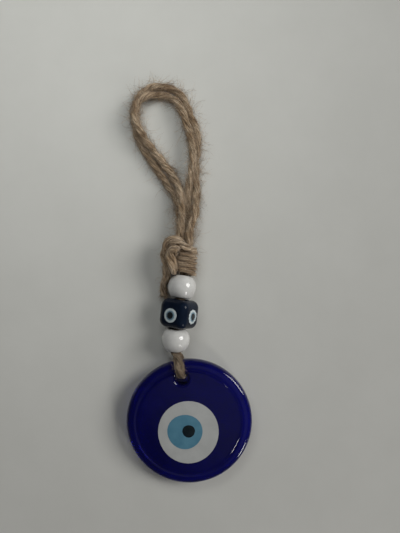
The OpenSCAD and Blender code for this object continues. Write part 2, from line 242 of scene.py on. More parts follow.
def run_of(rows):
    """A twine's places, directions across, half widths and distance along it, ring by ring."""
    path = smooth(rows, RING_SPACING)
    place, toward, half = path[:, :3], path[:, 3:6], path[:, 6:8]
    along = unit(np.gradient(place, axis=0))
    up = unit(toward - np.sum(toward * along, axis=1, keepdims=True) * along)
    across = np.cross(up, along)
    steps = np.linalg.norm(np.diff(place, axis=0), axis=1)
    distance = np.concatenate([[0], np.cumsum(steps)])
    return place, along, across, up, half, distance


def uneven(random, rings, columns, run):
    """Smooth random values, one column for each side of a ply, that change over about run rings."""
    knots = max(4, round(rings / run) + 2)
    values = random.uniform(-1, 1, (knots, columns))
    at = np.linspace(0, knots - 1.001, rings)
    low = at.astype(int)
    share = (at - low)[:, None]
    share = share * share * (3 - 2 * share)
    return values[low] * (1 - share) + values[np.minimum(low + 1, knots - 1)] * share


def mesh_piece(name, vertices, faces, material):
    mesh = bpy.data.meshes.new(name)
    mesh.from_pydata(vertices, [], faces)
    mesh.update()
    piece = bpy.data.objects.new(name, mesh)
    bpy.context.scene.collection.objects.link(piece)
    mesh.materials.append(material)
    mesh.polygons.foreach_set("use_smooth", [True] * len(mesh.polygons))
    return piece


def set_fibre(piece, vectors):
    """Gives each vertex its place in the fibres' pattern: round the ply, and along it."""
    layer = piece.data.attributes.new("fibre", "FLOAT_VECTOR", "POINT")
    layer.data.foreach_set("vector", np.concatenate(vectors).astype(np.float32).ravel())


def lay_up(name, rows, seed, turn=0.0, material=jute):
    """Three-ply twine along rows: place, a direction across, and the half width across and along it."""
    random = np.random.default_rng(seed)
    place, along, across, up, half, distance = run_of(rows)
    rings = len(place)

    def spoke(angle):
        return (half[:, 0] * np.cos(angle))[:, None] * across + (half[:, 1] * np.sin(angle))[:, None] * up

    vertices, fibre, faces = [], [], []
    for ply in range(3):
        phase = turn + math.tau * (ply / 3 - distance / TWINE_LAY)
        stray = 1 + PLY_STRAY * uneven(random, rings, 1, STRAY_RINGS)
        middle = place + PLY_OFFSET * stray * spoke(phase)
        lumps = 1 + LUMPS * uneven(random, rings, 1, LUMP_RINGS)
        ridges = FIBRE_RIDGES * uneven(random, rings, PLY_SIDES, RIDGE_RINGS)
        first = len(vertices) * rings
        for side in range(PLY_SIDES):
            corner = math.tau * side / PLY_SIDES
            reach = PLY_REACH * (lumps + ridges[:, side:side + 1])
            vertices.append(middle + reach * spoke(corner + phase))
            # Each ply reads its own part of the pattern, well away from the others'
            turned = corner + FIBRE_TURN * phase
            across_pattern = [np.cos(turned) + 7 * ply, np.sin(turned) + seed]
            fibre.append(np.stack(across_pattern + [distance / FIBRE_RUN], axis=1))
        for side in range(PLY_SIDES):
            a = first + side * rings
            b = first + (side + 1) % PLY_SIDES * rings
            faces.extend((a + i, b + i, b + i + 1, a + i + 1) for i in range(rings - 1))
        start = [first + side * rings for side in range(PLY_SIDES)]
        faces.append(start[::-1])
        faces.append([v + rings - 1 for v in start])
    vertices = np.concatenate(vertices)
    vertices[:, 2] = np.maximum(vertices[:, 2], CLEARANCE)
    piece = mesh_piece(name, vertices, faces, material)
    set_fibre(piece, fibre)
    return piece


def stray_fibres(name, rows, seed, per_mm, length, tuft=0):
    """Loose curling fibres that leave the twine along rows, and a tuft that goes on from its cut end."""
    random = np.random.default_rng(seed)
    place, along, across, up, half, distance = run_of(rows)
    strays = round(per_mm * 1000 * float(distance[-1]))
    count = strays + tuft
    at_end = np.arange(count) >= strays
    ring = np.where(at_end, len(place) - 2, random.integers(2, len(place) - 2, count))
    angle = random.uniform(0, math.tau, count)
    out = np.cos(angle)[:, None] * across[ring] + np.sin(angle)[:, None] * up[ring]
    width = half[ring, 0] * np.abs(np.cos(angle)) + half[ring, 1] * np.abs(np.sin(angle))
    way = along[ring] * np.where(at_end | (random.random(count) < 0.5), 1, -1)[:, None]
    lean = np.where(at_end, random.uniform(*TUFT_LEAN, count), random.uniform(*FIBRE_LEAN, count))[:, None]
    side = np.cross(out, way)
    swerve = random.normal(0, FIBRE_SWERVE, (count, 1))
    heading = unit(np.cos(lean) * way + np.sin(lean) * out + swerve * side)
    step = (length * np.clip(random.gamma(2, 0.5, count), *FIBRE_RANGE) / FIBRE_SEGMENTS)[:, None]
    axis = unit(random.normal(0, 1, (count, 3)))
    curl = random.normal(0, FIBRE_CURL, (count, 1))
    thick = FIBRE_R * random.uniform(*FIBRE_THICKNESS, (count, 1))
    root = np.where(at_end, random.uniform(*TUFT_ROOT, count), FIBRE_ROOT) * width
    point = place[ring] + root[:, None] * out
    vertices, fibre = [], []
    for k in range(FIBRE_SEGMENTS + 1):
        t = k / FIBRE_SEGMENTS
        radius = thick * (1 - FIBRE_TAPER * t)
        point[:, 2] = np.maximum(point[:, 2], CLEARANCE + thick[:, 0])
        edge = unit(np.cross(side, heading))
        for s in range(FIBRE_SIDES):
            turn = math.tau * s / FIBRE_SIDES
            vertices.append(point + radius * (math.cos(turn) * side + math.sin(turn) * edge))
            tone = seed + FIBRE_TONES * np.arange(count)
            fibre.append(np.stack([tone, np.full(count, t), angle], axis=1))
        along_axis = np.sum(axis * heading, axis=1, keepdims=True) * axis
        from_axis = heading - along_axis
        heading = along_axis + np.cos(curl) * from_axis + np.sin(curl) * np.cross(axis, heading)
        point = point + step * heading
    # One block of vertices for each ring corner, with a vertex for every fibre in it
    faces = []
    for hair in range(count):
        for k in range(FIBRE_SEGMENTS):
            for s in range(FIBRE_SIDES):
                a = (k * FIBRE_SIDES + s) * count + hair
                b = (k * FIBRE_SIDES + (s + 1) % FIBRE_SIDES) * count + hair
                faces.append((b, a, a + FIBRE_SIDES * count, b + FIBRE_SIDES * count))
        faces.append((hair, hair + count, hair + 2 * count))
        last = FIBRE_SEGMENTS * FIBRE_SIDES * count + hair
        faces.append((last + 2 * count, last + count, last))
    piece = mesh_piece(name, np.concatenate(vertices), faces, jute_fibre)
    set_fibre(piece, fibre)
    return piece


def finish_piece(piece, slot, *nodes):
    """Puts a piece on the part's one body and hides the CAD nodes that it stands for. The slot is not used.
    """
    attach(piece, "root")
    if nodes:
        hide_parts(*nodes)


# Hanging loop: two strands of the twine leave the top of the knot, run up side by side, round and back.
# They lie on the table and turn slowly round each other, so that one rides on the other along both legs.
LOOP_L = 0.050
LOOP_W = 0.020
LOOP_LENGTH_OUTER = 0.122
LOOP_LENGTH_INNER = 0.1165
LOOP_FIBRES_PER_MM = 22
LOOP_FIBRE_LENGTH = 0.0029
IN_KNOT = 0.0016
IN_KNOT_SHARE = 0.55
IN_KNOT_HALF = 0.0009
strand_half = 0.48 * TWINE_D
pair_half = 0.55 * TWINE_D

# across (share of LOOP_W), along (share of LOOP_L), lift (twine thicknesses),
# roll of the outer over the inner
LOOP_ROUTE = [
    (0.07, 0, 0.65, 90),
    (0.08, 0.11, 0.3, 80),
    (0.108, 0.175, 0.08, 50),
    (0.11, 0.25, 0, 18),
    (0.115, 0.32, 0, -10),
    (0.13, 0.395, 0, -40),
    (0.15, 0.48, 0, -66),
    (0.158, 0.56, 0, -74),
    (0.16, 0.64, 0, -55),
    (0.138, 0.72, 0, -40),
    (0.073, 0.795, 0, -40),
    (0, 0.87, 0, -40),
    (-0.075, 0.93, 0, -25),
    (-0.18, 0.972, 0, -5),
    (-0.32, 0.993, 0, -5),
    (-0.464, 0.997, 0, -12),
    (-0.6, 0.98, 0, -34),
    (-0.706, 0.95, 0, -55),
    (-0.775, 0.905, 0, -70),
    (-0.802, 0.84, 0, -82),
    (-0.78, 0.768, 0, -72),
    (-0.706, 0.69, 0, -56),
    (-0.586, 0.61, 0, -40),
    (-0.448, 0.535, 0, -20),
    (-0.308, 0.46, 0, -4),
    (-0.186, 0.385, 0, -24),
    (-0.1, 0.31, 0, -55),
    (-0.07, 0.24, 0, -70),
    (-0.058, 0.168, 0.1, -78),
    (-0.063, 0.1, 0.35, -86),
    (-0.07, 0, 0.65, -90),
]

# The upper bead and the knot over it, which say where the loop starts
BEAD_L = 0.007
BEAD_BORE_R = 0.0022
UPPER_LEAN = math.radians(9)
KNOT_LEAN = math.radians(1)
KNOT_SPACE = 0.0004
WRAP_TURNS = 4.33
WRAP_PITCH = 0.00172
WRAP_HALF = 0.0008
WRAP_RADIAL = 0.00095
WRAP_SPREAD = 0.00035
CORE_MARGIN = 0.00055
KNOT_SHIFT = 0.00015
LOOP_SPACE = 0.0006
core_r = BEAD_BORE_R - CORE_MARGIN
wrap_r_low = 1.1 * core_r + WRAP_RADIAL + 2 * CLEARANCE
wrap_r_high = wrap_r_low + WRAP_SPREAD
wrap_l = WRAP_TURNS * WRAP_PITCH
knot_l = wrap_l + 2 * WRAP_HALF


def middle(node):
    low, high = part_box(node)
    return np.array((low + high) / 2)


def step_on(place, lean, distance):
    return place + distance * np.array([math.sin(lean), math.cos(lean), 0])


knot_at = step_on(middle("upper_bead"), UPPER_LEAN, BEAD_L / 2 + KNOT_SPACE)
knot_at[0] += KNOT_SHIFT
knot_at[2] = wrap_r_high + WRAP_RADIAL + CLEARANCE
loop_at = knot_at[:2] + np.array([0, knot_l + 2 * CLEARANCE + LOOP_SPACE])


def loop_rows(side):
    """One strand of the loop: the outer (1) or the inner (-1) of the pair."""
    route = np.array(LOOP_ROUTE)
    pair = loop_at + route[:, :2] * (LOOP_W, LOOP_L)
    last = len(pair) - 1
    along = unit(np.array([pair[min(i + 1, last)] - pair[max(i - 1, 0)] for i in range(last + 1)]))
    outward = np.stack([along[:, 1], -along[:, 0]], axis=1)
    roll = np.radians(route[:, 3])
    places = pair + side * pair_half * np.cos(roll)[:, None] * outward
    height = strand_half + CLEARANCE / 2 + route[:, 2] * TWINE_D
    height = height + pair_half * (np.abs(np.sin(roll)) + side * np.sin(roll))
    rows = [(x, y, z, 0, 0, 1, strand_half, strand_half) for (x, y), z in zip(places, height)]
    # Both ends go on a little into the knot, where the strands are pressed together
    ends = []
    for x, y, z in (rows[0][:3], rows[-1][:3]):
        inward = IN_KNOT_SHARE * (np.array([x, z]) - knot_at[[0, 2]])
        place = (knot_at[0] + inward[0], y - IN_KNOT, knot_at[2] + inward[1])
        ends.append((*place, 0, 0, 1, IN_KNOT_HALF, IN_KNOT_HALF))
    return [ends[0]] + rows + [ends[1]]


# side of the pair, length, seed, turn of the plies where the strand starts
loop_parts = {"outer": (1, LOOP_LENGTH_OUTER, 11, 0.4), "inner": (-1, LOOP_LENGTH_INNER, 12, 1.3)}
for which, (side, length, seed, turn) in loop_parts.items():
    rows = loop_rows(side)
    strand = lay_up("loop_strand_" + which, rows, seed, turn)
    finish_piece(strand, "twine", "loop_twine_" + which)
    fibres = stray_fibres("loop_fibres_" + which, rows, seed + 20, LOOP_FIBRES_PER_MM, LOOP_FIBRE_LENGTH)
    finish_piece(fibres, "twine")


# Twine in the beads: one length goes down through all three beads, over the disc's edge and down its hole,
# then back under the glass and up through the beads again. In each bore its two runs are pressed flat
# against each other.
LOWER_LEAN = math.radians(3)
EYE_LEAN = math.radians(7)
WHITE_RISE = math.radians(6)
EYE_BEAD_L = 0.009
DISC_R = 0.020
DISC_T = 0.0048
HOLE_TURN = math.radians(9.5)
HOLE_R = 0.0021
HOLE_MOUTH = 0.0008
HOLE_BRIDGE = 0.0037
CORE_HALF, CORE_ACROSS, CORE_APART = 0.485 * core_r, 0.83 * core_r, 0.515 * core_r
# Between two beads the strands lie closer to the middle line than in the bores
BETWEEN_SHARE = 0.5
OVER_HALF, OVER_ACROSS, MOUTH_ACROSS = 0.0011, 0.0015, 0.0014
IN_HOLE_HALF, IN_HOLE_ACROSS = 0.001, 0.65 * HOLE_R
UNDER_HALF = 0.00093
BEND_SPACE = 0.00014
OVER_LIFT = 0.00015
rim_r = DISC_T / 2
flat_r = DISC_R - rim_r
hole_at = DISC_R - HOLE_BRIDGE - HOLE_R
disc_tilt = math.asin((2 * UNDER_HALF + 2 * BEND_SPACE) / (2 * flat_r - HOLE_MOUTH))
disc_lift = flat_r * math.sin(disc_tilt) + rim_r * (1 - math.cos(disc_tilt))
disc_at = np.array([*middle("glass_disc")[:2], disc_lift])
disc_at += rim_r * math.sin(disc_tilt) * np.array([-math.sin(HOLE_TURN), math.cos(HOLE_TURN), 0])


def disc_point(across, toward_hole, over_back):
    """A point of the disc's own frame, in the row frame."""
    reach = toward_hole * math.cos(disc_tilt) - over_back * math.sin(disc_tilt)
    return disc_at + np.array([
        across * math.cos(HOLE_TURN) - reach * math.sin(HOLE_TURN),
        across * math.sin(HOLE_TURN) + reach * math.cos(HOLE_TURN),
        toward_hole * math.sin(disc_tilt) + over_back * math.cos(disc_tilt),
    ])


def rim_point(distance, angle):
    angle = math.radians(angle)
    return disc_point(0, flat_r + distance * math.cos(angle), rim_r + distance * math.sin(angle))


def mouth_point(distance, angle, side):
    angle = math.radians(angle)
    edge = hole_at + HOLE_R + HOLE_MOUTH
    height = rim_r - HOLE_MOUTH + distance * math.sin(angle)
    return disc_point(0, edge + distance * math.cos(angle), rim_r + side * height)


def bead_point(at, lean, rise, along, up):
    reach = along * math.cos(rise) - up * math.sin(rise)
    height = along * math.sin(rise) + up * math.cos(rise)
    return at + np.array([reach * math.sin(lean), reach * math.cos(lean), height])


def knot_point(across, along, up):
    return knot_at + np.array([
        across * math.cos(KNOT_LEAN) + along * math.sin(KNOT_LEAN),
        along * math.cos(KNOT_LEAN) - across * math.sin(KNOT_LEAN),
        up,
    ])


def bead_twine_row(place, half, across):
    """A row of the twine whose wide side lies level: its half thickness, and its half width across."""
    return (*place, 1, 0, 0, half, across)


def core_rows(side):
    """The strand over (1) or under (-1) the middle line, from the knot's top down to the lowest bead."""
    up = side * CORE_APART
    between_up = BETWEEN_SHARE * up
    upper = (middle("upper_bead"), UPPER_LEAN, -WHITE_RISE)
    eye = (middle("eye_bead"), EYE_LEAN, 0)
    lower = (middle("lower_bead"), LOWER_LEAN, WHITE_RISE)
    upper_end = bead_point(*upper, -BEAD_L / 2, between_up)
    eye_start, eye_end = (bead_point(*eye, end * EYE_BEAD_L / 2, between_up) for end in (1, -1))
    lower_start = bead_point(*lower, BEAD_L / 2, between_up)
    places = [
        knot_point(0, knot_l, up),
        knot_point(0, 0, up),
        bead_point(*upper, 0, up),
        (upper_end + eye_start) / 2,
        bead_point(*eye, 0, up),
        (eye_end + lower_start) / 2,
        bead_point(*lower, 0, up),
        bead_point(*lower, -BEAD_L / 2, up),
    ]
    return [bead_twine_row(place, CORE_HALF, CORE_ACROSS) for place in places]


over_reach = rim_r + OVER_HALF + BEND_SPACE
under_reach = rim_r + UNDER_HALF + BEND_SPACE + CLEARANCE
mouth_reach = HOLE_MOUTH + OVER_HALF + BEND_SPACE
under_mouth_reach = HOLE_MOUTH + UNDER_HALF + BEND_SPACE
RIM_ANGLES = (42, 64, 86)
over_rim = [(rim_point(over_reach + OVER_LIFT, angle), OVER_HALF, OVER_ACROSS) for angle in RIM_ANGLES]
through_hole = [
    (mouth_point(mouth_reach, 115, 1), IN_HOLE_HALF, OVER_ACROSS),
    (mouth_point(mouth_reach, 148, 1), IN_HOLE_HALF, MOUTH_ACROSS),
    (mouth_point(mouth_reach, 180, 1), IN_HOLE_HALF, IN_HOLE_ACROSS),
    (mouth_point(mouth_reach, 180, -1), IN_HOLE_HALF, IN_HOLE_ACROSS),
    (mouth_point(mouth_reach, 148, -1), UNDER_HALF, MOUTH_ACROSS),
    (mouth_point(under_mouth_reach, 115, -1), UNDER_HALF, OVER_ACROSS),
]
under_rim = [(rim_point(under_reach, -angle), UNDER_HALF, OVER_ACROSS) for angle in RIM_ANGLES[::-1]]
disc_rows = [bead_twine_row(*row) for row in over_rim + through_hole + under_rim]
bead_rows = core_rows(1) + disc_rows + core_rows(-1)[::-1]
# Loose fibres show only where the twine is bare, from the lowest bead to the hole
bare_rows = core_rows(1)[-1:] + disc_rows[:4]
# This twine's material paints shade on it all along.
bead_strand = lay_up("bead_strand", bead_rows, seed=13, turn=2.0, material=jute_painted_shade)
finish_piece(bead_strand, "twine", "bead_twine")
finish_piece(stray_fibres("bead_fibres", bare_rows, seed=33, per_mm=14, length=0.0014), "twine")


# Knot: one end is wound round the others in close slanting turns, crosses over the top and is tucked down
# the left side. It ends in a short tail beside the upper bead. The turns are tight, so the twine is pressed
# flat in them.
WRAP_STEPS = 14
WRAP_END = 60
WRAP_SWELL_TURN = 0.4
WRAP_SWELL = 0.0003
WRAP_FULLNESS = 1.1
WRAP_SLANT = 0.21
CROWN_R = 0.00155
CROWN_START_R = 0.0012
TAIL_R = 0.0013
TUCK_R = 0.00165
TUCK_END_R = 0.0011

# across, along (both from where the knot starts), height over the knot's middle, half width
CROWN_ROUTE = [
    (0.0004, knot_l - 0.0003, 0.00425, CROWN_START_R),
    (-0.0012, knot_l + 0.001, 0.0046, 1.1 * CROWN_START_R),
    (-0.0031, knot_l + 0.00175, 0.0043, CROWN_R),
    (-0.0049, knot_l + 0.0013, 0.0034, CROWN_R),
    (-0.0059, knot_l - 0.0003, 0.0025, CROWN_R),
    (-0.00605, 0.7 * knot_l, 0.0021, CROWN_R),
    (-0.0057, 0.42 * knot_l, 0.0019, CROWN_R),
    (-0.0054, 0.15 * knot_l, 0.0015, CROWN_R),
    (-0.0058, -0.0009, 0.0004, TAIL_R),
    (-0.0065, -0.0034, -0.0011, TAIL_R),
    (-0.0066, -0.0054, -0.0021, TAIL_R),
    (-0.0066, -0.0066, -0.0025, TAIL_R),
]
TUCK_ROUTE = [
    (-0.0019, knot_l - 0.0019, 0.0052, TUCK_R),
    (-0.0034, knot_l - 0.0013, 0.0047, TUCK_R),
    (-0.0041, knot_l - 0.0026, 0.0042, TUCK_R),
    (-0.0039, 0.48 * knot_l, 0.0041, TUCK_R),
    (-0.0036, 0.28 * knot_l, 0.0039, TUCK_R),
    (-0.0034, 0.17 * knot_l, 0.0032, TUCK_R),
    (-0.0031, 0.13 * knot_l, 0.0018, TUCK_END_R),
]


def knot_row(across, along, up, half_u, half_v):
    return (*knot_point(across, along, up), across, 0, up, half_u, half_v)


wrap_rows = []
wrap_count = round(WRAP_TURNS * WRAP_STEPS)
for i in range(wrap_count + 1):
    share = i / wrap_count
    angle = math.radians(WRAP_END - 360 * WRAP_TURNS * (1 - share))
    r = wrap_r_low + WRAP_SPREAD * share
    swell = WRAP_SWELL * max(0, 1 - WRAP_TURNS * (1 - share) / WRAP_SWELL_TURN)
    across = r * math.cos(angle)
    rise = WRAP_HALF + wrap_l * share + swell - WRAP_SLANT * across
    wrap_half = WRAP_FULLNESS * (WRAP_HALF + swell)
    wrap_rows.append(knot_row(across, rise, r * math.sin(angle), wrap_half, WRAP_RADIAL))
knot_rows = wrap_rows + [knot_row(*row, row[3]) for row in CROWN_ROUTE]
tuck_rows = [knot_row(*row, row[3]) for row in TUCK_ROUTE]
finish_piece(lay_up("knot_strand", knot_rows, seed=14), "twine", "knot_wraps")
finish_piece(lay_up("knot_tucked_strand", tuck_rows, seed=15), "twine", "knot_tuck")
knot_fibres = stray_fibres("knot_fibres", knot_rows, seed=34, per_mm=12, length=0.0018, tuft=160)
tuck_fibres = stray_fibres("knot_tucked_fibres", tuck_rows, seed=35, per_mm=12, length=0.0016)
finish_piece(knot_fibres, "twine")
finish_piece(tuck_fibres, "twine")


# White beads: pony beads of glossy moulded plastic, a ball cut off flat at both ends round the bore.
# One sits on each side of the square bead, and the twine fills the bore.
BEAD_D = 0.009
BEAD_EDGE = 0.0003
# How nearly along an axis a flat face looks, and how close together two places count as one
STRAIGHT = 0.999
NEAR = 0.00002


def select_only(piece):
    bpy.ops.object.select_all(action="DESELECT")
    bpy.context.view_layer.objects.active = piece
    piece.select_set(True)


def choose_nothing(piece):
    """Leaves nothing of the piece's mesh selected."""
    select_only(piece)
    bpy.ops.object.mode_set(mode="EDIT")
    bpy.ops.mesh.select_mode(type="VERT")
    bpy.ops.mesh.select_all(action="DESELECT")
    bpy.ops.object.mode_set(mode="OBJECT")


def choose_vertices(piece, wanted):
    """Selects the vertices whose place is wanted, and their edges and faces, and goes into edit mode."""
    choose_nothing(piece)
    for vertex in piece.data.vertices:
        vertex.select = bool(wanted(vertex.co))
    bpy.ops.object.mode_set(mode="EDIT")
    bpy.ops.mesh.select_mode(type="VERT")
    bpy.ops.mesh.select_mode(type="EDGE")


def choose_faces(piece, wanted):
    """Selects the faces whose middle and normal are wanted, and goes into edit mode."""
    choose_nothing(piece)
    for face in piece.data.polygons:
        face.select = bool(wanted(face.center, face.normal))
    bpy.ops.object.mode_set(mode="EDIT")
    bpy.ops.mesh.select_mode(type="FACE")


def back_to_object():
    bpy.ops.object.mode_set(mode="OBJECT")


def put(piece, matrix):
    """Moves the mesh to its place on the pendant, and leaves the object at the origin."""
    piece.data.transform(matrix)
    piece.matrix_world = Matrix.Identity(4)
    piece.data.update()


def named(name, material):
    """The piece that was just made, with its name and its one material."""
    piece = bpy.context.object
    piece.name = piece.data.name = name
    piece.data.materials.clear()
    piece.data.materials.append(material)
    return piece


def apply_modifier(piece, kind, **values):
    modifier = piece.modifiers.new(kind.lower(), kind)
    for key, value in values.items():
        setattr(modifier, key, value)
    select_only(piece)
    bpy.ops.object.modifier_apply(modifier=modifier.name)


def cut_away(piece, tool):
    apply_modifier(piece, "BOOLEAN", operation="DIFFERENCE", object=tool, solver="EXACT")
    bpy.data.objects.remove(tool)


def smooth_by_angle(piece, degrees):
    """Shades edges flatter than this smooth, with the large faces' normals ruling over the small ones'."""
    select_only(piece)
    bpy.ops.object.shade_smooth_by_angle(angle=math.radians(degrees))
    apply_modifier(piece, "WEIGHTED_NORMAL", keep_sharp=True)


def string_frame(at, lean, rise):
    """A bead's own frame: its +Z lies along the string, towards the loop."""
    return (
        Matrix.Translation(Vector(at))
        @ Matrix.Rotation(-lean, 4, "Z")
        @ Matrix.Rotation(rise - math.pi / 2, 4, "X")
    )


def clouds_group():
    """Two tones of a colour in soft clouds, and the slow waves of a moulded or melted surface."""
    group, nodes, links, given, result = node_group(
        "clouds and waves",
        {"Place": "Vector", "Low": "Color", "High": "Color", "Clouds": "Float", "Waves": "Float"},
        {"Colour": "Color", "Height": "Float"},
    )
    spread = nodes.new("ShaderNodeMapRange")
    spread.inputs["From Min"].default_value = 0.35
    spread.inputs["From Max"].default_value = 0.65
    clouds = noise(nodes, links, given["Place"], given["Clouds"], detail=4, label="clouds")
    links.new(clouds, spread.inputs["Value"])
    tone = mix_colours(nodes, links, spread.outputs["Result"], given["Low"], given["High"])
    links.new(tone, result["Colour"])
    waves = noise(nodes, links, given["Place"], given["Waves"], detail=2, label="waves")
    links.new(waves, result["Height"])
    return group


clouds_and_waves = clouds_group()


def clouded_material(name, low, high, clouds, waves, depth, strength):
    """A material in two tones with waves of this depth, and its shader for the values that don't vary."""
    material, nodes, links, shader = new_material(name)
    place = nodes.new("ShaderNodeTexCoord").outputs["Object"]
    look = place_group(
        nodes, links, clouds_and_waves,
        Place=place, Low=rgb(*low), High=rgb(*high), Clouds=clouds, Waves=waves,
    )
    links.new(look["Colour"], shader.inputs["Base Color"])
    bump(nodes, links, shader, look["Height"], depth, strength)
    return material, shader


def bead_plastic():
    """White plastic with a little grime in it, glossy, with the faint ripples of moulding."""
    material, shader = clouded_material(
        "bead_plastic", (0.588, 0.583, 0.568), (0.688, 0.683, 0.668),
        clouds=300, waves=420, depth=0.00003, strength=0.5,
    )
    shader.inputs["Roughness"].default_value = 0.08
    shader.inputs["IOR"].default_value = 1.5
    shader.inputs["Coat Weight"].default_value = 0.4
    shader.inputs["Coat Roughness"].default_value = 0.05
    return material


white_plastic = bead_plastic()


def pony_bead(name):
    """A bead round the origin, with its bore along Z."""
    near_end = 0.499 * BEAD_L
    bpy.ops.object.select_all(action="DESELECT")
    bpy.ops.mesh.primitive_uv_sphere_add(segments=72, ring_count=48, radius=BEAD_D / 2)
    bead = named(name, white_plastic)
    for end in (1, -1):
        choose_vertices(bead, lambda place: True)
        bpy.ops.mesh.bisect(
            plane_co=(0, 0, end * BEAD_L / 2), plane_no=(0, 0, end), use_fill=True, clear_outer=True
        )
        back_to_object()
    cap_r = math.sqrt((BEAD_D / 2) ** 2 - (BEAD_L / 2) ** 2)
    choose_faces(bead, lambda place, normal: abs(normal.z) > STRAIGHT and abs(place.z) > near_end)
    bpy.ops.mesh.inset(thickness=cap_r - BEAD_BORE_R)
    bpy.ops.mesh.delete(type="ONLY_FACE")
    back_to_object()
    bore_edge = BEAD_BORE_R + NEAR
    choose_vertices(
        bead, lambda place: abs(place.z) > near_end and math.hypot(place.x, place.y) < bore_edge
    )
    bpy.ops.mesh.bridge_edge_loops()
    back_to_object()
    choose_vertices(bead, lambda place: abs(place.z) > near_end)
    bpy.ops.mesh.bevel(offset=BEAD_EDGE, segments=4, affect="EDGES")
    back_to_object()
    smooth_by_angle(bead, 40)
    return bead


def copy_of(piece, name):
    twin = piece.copy()
    twin.data = piece.data.copy()
    twin.name = twin.data.name = name
    bpy.context.scene.collection.objects.link(twin)
    return twin


lower_bead = pony_bead("pony_bead_lower")
upper_bead = copy_of(lower_bead, "pony_bead_upper")
put(lower_bead, string_frame(middle("lower_bead"), LOWER_LEAN, WHITE_RISE))
put(upper_bead, string_frame(middle("upper_bead"), UPPER_LEAN, -WHITE_RISE))
finish_piece(lower_bead, "white_bead", "lower_bead")
finish_piece(upper_bead, "white_bead", "upper_bead")


# Square bead: a pressed cube of nearly black blue glass with rounded edges and slightly swollen sides.
# A small eye of white, grey blue and black glass is melted into each of the four sides round the string.
EYE_BEAD_W = 0.0098
EYE_BEAD_ROUND = 0.0024
EYE_BEAD_TURN = 30
EYE_BEAD_SWELL = 0.00015
EYE_BEAD_MOUTH = 0.0004
BEAD_EYE_R = 0.0022
BEAD_EYE_DEPTH = 0.0008
BEAD_EYE_PROUD = 0.00012
BEAD_IRIS_SHARE = 0.7
BEAD_PUPIL_SHARE = 0.5
DOT_DOME = 0.00009
# The share of a quarter round at which the rings of a dome stop short of its middle
DOME_STOP = 0.92

# turn round the string, shift along it towards the disc, raggedness of the eye's edge
BEAD_EYE_PLACES = [(0, -0.0005, 0.012), (90, -0.0003, 0.05), (180, 0.0003, 0.02), (270, 0, 0.03)]


def opaque_glass(name, low, high, scale, gloss=0.08, wave=0.00002, shine=0.5):
    """Glass coloured right through, with thin clouds from the melt and a surface that is not quite even."""
    material, shader = clouded_material(
        name, low, high, clouds=scale, waves=0.6 * scale, depth=wave, strength=0.6
    )
    shader.inputs["Roughness"].default_value = gloss
    shader.inputs["Specular IOR Level"].default_value = shine
    shader.inputs["IOR"].default_value = 1.52
    return material


navy_glass = opaque_glass(
    "navy_glass", (0.003, 0.006, 0.015), (0.007, 0.013, 0.028), 250, gloss=0.2, wave=0.00008, shine=0.15
)
dot_white = opaque_glass("dot_white_glass", (0.5, 0.58, 0.6), (0.62, 0.68, 0.7), 900)
dot_blue = opaque_glass("dot_blue_glass", (0.1, 0.18, 0.25), (0.2, 0.31, 0.38), 900)
dot_black = opaque_glass("dot_black_glass", (0.006, 0.01, 0.013), (0.012, 0.018, 0.02), 900)

bpy.ops.object.select_all(action="DESELECT")
bpy.ops.mesh.primitive_cube_add(size=1, scale=(EYE_BEAD_W, EYE_BEAD_W, EYE_BEAD_L))
bpy.ops.object.transform_apply(location=False, rotation=False, scale=True)
square_bead = named("square_bead", navy_glass)
choose_vertices(square_bead, lambda place: True)
bpy.ops.mesh.bevel(offset=EYE_BEAD_ROUND, segments=8, affect="EDGES", profile=0.5)
back_to_object()
choose_faces(square_bead, lambda place, normal: max(map(abs, normal)) > STRAIGHT)
bpy.ops.mesh.subdivide(number_cuts=11)
back_to_object()
flat = [side / 2 - EYE_BEAD_ROUND for side in (EYE_BEAD_W, EYE_BEAD_W, EYE_BEAD_L)]
for vertex in square_bead.data.vertices:
    for axis, others in ((0, (1, 2)), (1, (0, 2))):
        if abs(vertex.co[axis]) > EYE_BEAD_W / 2 - NEAR:
            swell = math.prod(max(0, 1 - (vertex.co[i] / flat[i]) ** 2) for i in others)
            vertex.co[axis] += math.copysign(EYE_BEAD_SWELL * swell, vertex.co[axis])
bpy.ops.mesh.primitive_cylinder_add(vertices=64, radius=BEAD_BORE_R, depth=1.2 * EYE_BEAD_L)
cut_away(square_bead, bpy.context.object)


def on_circle(place, radius, height):
    """Whether a place lies on a circle round the Z axis, this far over or under the origin."""
    return abs(math.hypot(place.x, place.y) - radius) < NEAR and abs(abs(place.z) - height) < NEAR


choose_vertices(square_bead, lambda place: on_circle(place, BEAD_BORE_R, EYE_BEAD_L / 2))
bpy.ops.mesh.bevel(offset=EYE_BEAD_MOUTH, segments=4, affect="EDGES")
back_to_object()
smooth_by_angle(square_bead, 50)
eye_bead_frame = string_frame(middle("eye_bead"), EYE_LEAN, 0)
put(square_bead, eye_bead_frame @ Matrix.Rotation(math.radians(-EYE_BEAD_TURN), 4, "Z"))
finish_piece(square_bead, "navy_glass", "eye_bead")


def press_rings(radius, rings):
    """Divides the chosen round face from its edge inwards, ring by ring: radius and height of each."""
    before_r, before_z = radius, 0.0
    for ring_r, ring_z in rings:
        bpy.ops.mesh.inset(thickness=before_r - ring_r)
        bpy.ops.transform.translate(value=(0, 0, ring_z - before_z))
        before_r, before_z = ring_r, ring_z


def dome(piece, radius, rise, rings):
    """Swells the flat top of a disc into a low dome, ring by ring from its edge."""
    top = max(vertex.co.z for vertex in piece.data.vertices)
    shares = [1 - (1 - ring / (rings + 1)) ** 2 for ring in range(1, rings + 1)]
    choose_faces(piece, lambda place, normal: normal.z > STRAIGHT and place.z > top - NEAR)
    press_rings(radius, [
        (radius * math.cos(share * math.pi / 2 * DOME_STOP), rise * math.sin(share * math.pi / 2))
        for share in shares
    ])
    back_to_object()


